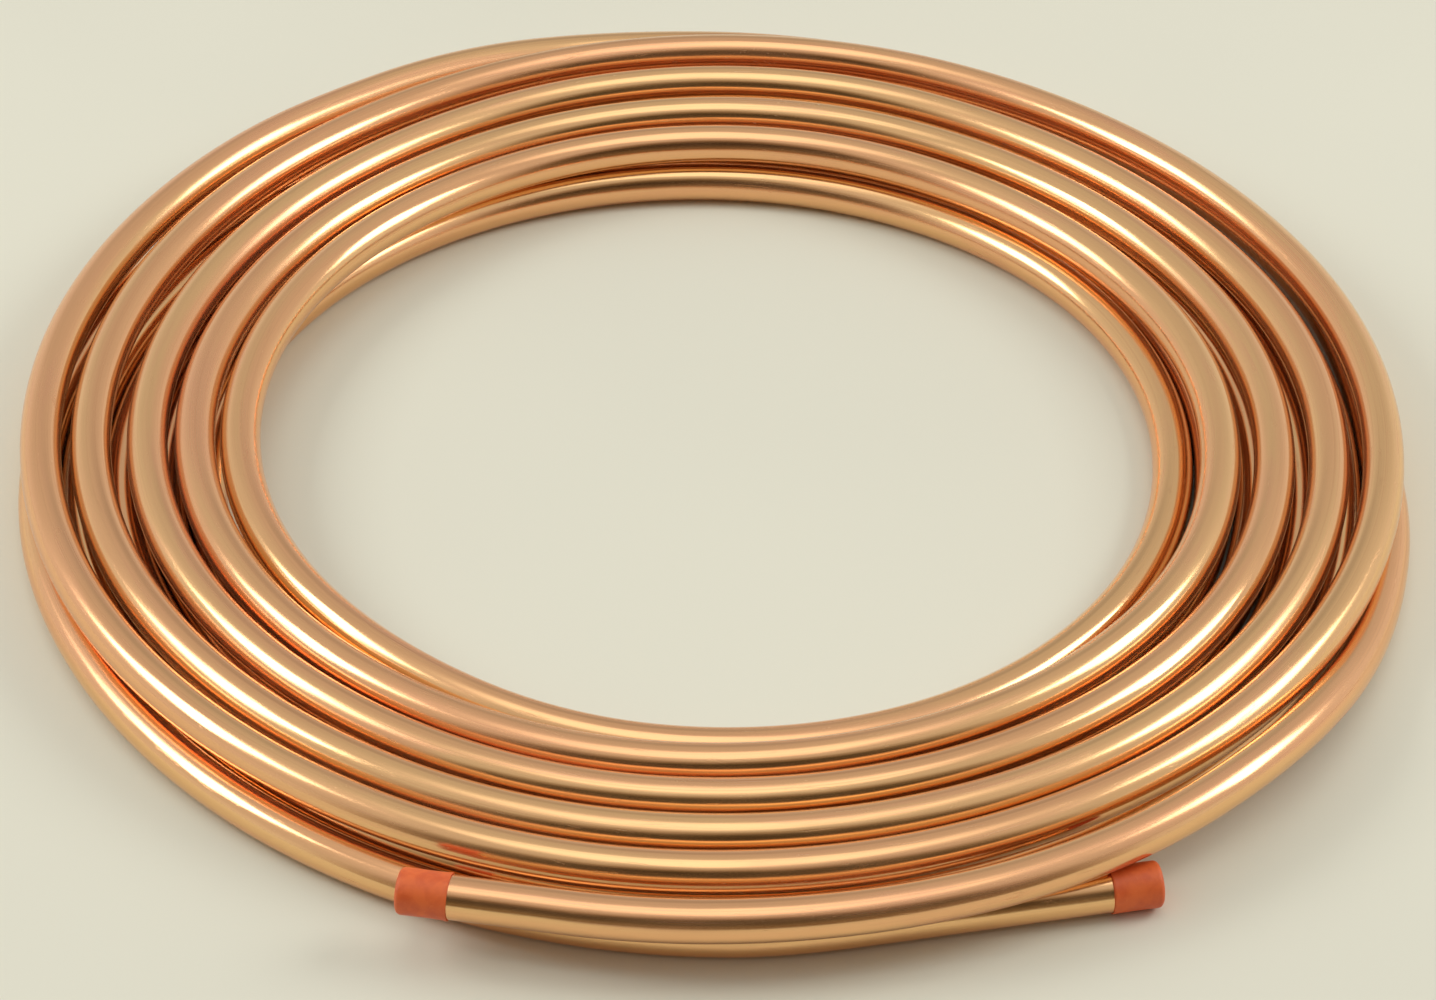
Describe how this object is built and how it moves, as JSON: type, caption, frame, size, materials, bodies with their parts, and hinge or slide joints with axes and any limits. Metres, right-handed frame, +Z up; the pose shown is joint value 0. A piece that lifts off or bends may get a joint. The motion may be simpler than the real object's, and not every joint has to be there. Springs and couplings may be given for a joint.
{
  "type": "copper tube coil",
  "caption": "Loose flat coil of soft copper tube wound in two layers round an open centre, with a plastic cap pushed on each end.",
  "frame": {"origin": "on the level floor under the coil, at the centre of its outline", "axes": "+Z up along the axis of the coil, +X to the right and -Y towards the side where both ends lie"},
  "size_m": [0.5426, 0.576, 0.0327],
  "materials": {
    "copper": "bright drawn copper with a light sheen",
    "cap_plastic": "soft orange-red plastic"
  },
  "bodies": {
    "root": {"copper_tube": "copper", "start_cap": "cap_plastic", "finish_cap": "cap_plastic"}
  },
  "joints": []
}
